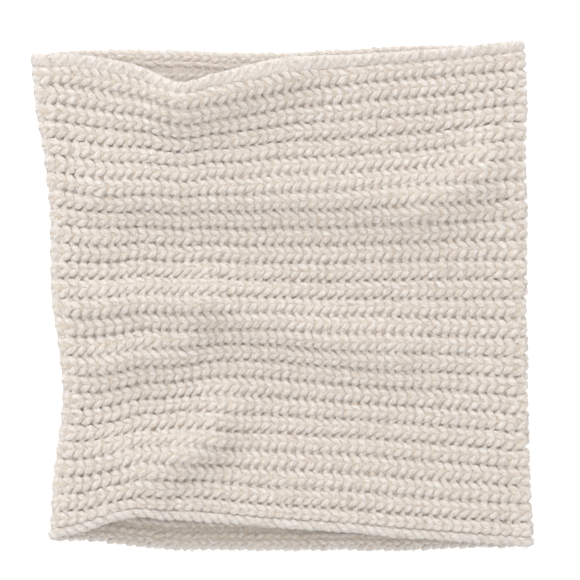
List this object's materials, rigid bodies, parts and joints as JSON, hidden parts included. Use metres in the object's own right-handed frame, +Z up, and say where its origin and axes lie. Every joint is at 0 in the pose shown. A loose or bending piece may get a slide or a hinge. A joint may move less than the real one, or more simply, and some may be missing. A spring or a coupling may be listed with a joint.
{
  "type": "snood",
  "caption": "Chunky ribbed knit snood, a soft open tube worn round the neck, lying flat with both mouths slightly arched.",
  "frame": {"origin": "on the table under the middle of the lying tube", "axes": "+Z up from the table, +Y along the tube from the lower mouth to the upper one, +X to the right across the tube, away from the seam"},
  "size_m": [0.3126, 0.3162, 0.0449],
  "materials": {
    "rib_wool": "fuzzy matte heathered wool, chunky rib knit",
    "selvedge_wool": "fuzzy matte heathered wool, rolled selvedge stitches",
    "seam_wool": "fuzzy matte heathered wool, overcast joining stitches"
  },
  "bodies": {
    "root": {"ribbed_tube": "rib_wool", "top_selvedge": "selvedge_wool", "bottom_selvedge": "selvedge_wool", "side_seam": "seam_wool"}
  },
  "joints": []
}
